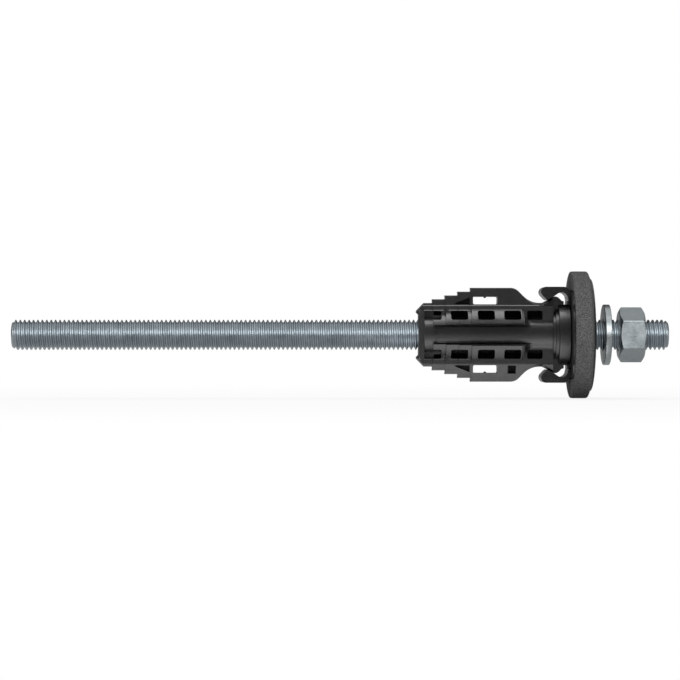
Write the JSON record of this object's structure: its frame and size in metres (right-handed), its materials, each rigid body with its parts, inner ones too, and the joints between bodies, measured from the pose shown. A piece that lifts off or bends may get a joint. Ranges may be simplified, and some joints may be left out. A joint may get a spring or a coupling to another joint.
{
  "type": "stand-off anchor",
  "caption": "Stand-off wall anchor: threaded rod and stud joined by a winged insulating cone, with clip-on foam sealing disc, washer and hex nut.",
  "frame": {"origin": "on the anchor's axis, in the outer face of the sealing disc, where the attached fixture seats", "axes": "+X along the axis towards the free end of the stud, +Z towards one wing of the cone, +Y across the wings"},
  "size_m": [0.2594, 0.0502, 0.0502],
  "materials": {
    "zinc_rod": "zinc-plated thread",
    "zinc_washer": "zinc-plated, stamped",
    "zinc_nut": "zinc-plated, forged",
    "black_nylon": "glass-fibre nylon, satin",
    "black_clip": "moulded, satin",
    "grey_foam": "fine closed-cell foam",
    "dark_plate": "moulded, matt"
  },
  "bodies": {
    "anchor": {"threaded_rod": "zinc_rod", "cone_body": "black_nylon", "stud": "zinc_rod", "seal_carrier": "black_clip", "foam_seal": "grey_foam", "outer_plate": "dark_plate"},
    "washer": {"washer": "zinc_washer"},
    "nut": {"hex_nut": "zinc_nut"}
  },
  "joints": [
    {"name": "washer_slide", "type": "slide", "parent": "anchor", "child": "washer", "axis": [1, 0, 0], "range_m": [-0.0048, 0.0082]},
    {"name": "nut_spin", "type": "hinge", "parent": "washer", "child": "nut", "pos_m": [0.016, 0, 0], "axis": [1, 0, 0], "range_deg": [-975, 1675]}
  ],
  "couplings": [
    {"joint": "washer_slide", "follows": "nut_spin", "m_per_rad": 0.00027852}
  ]
}
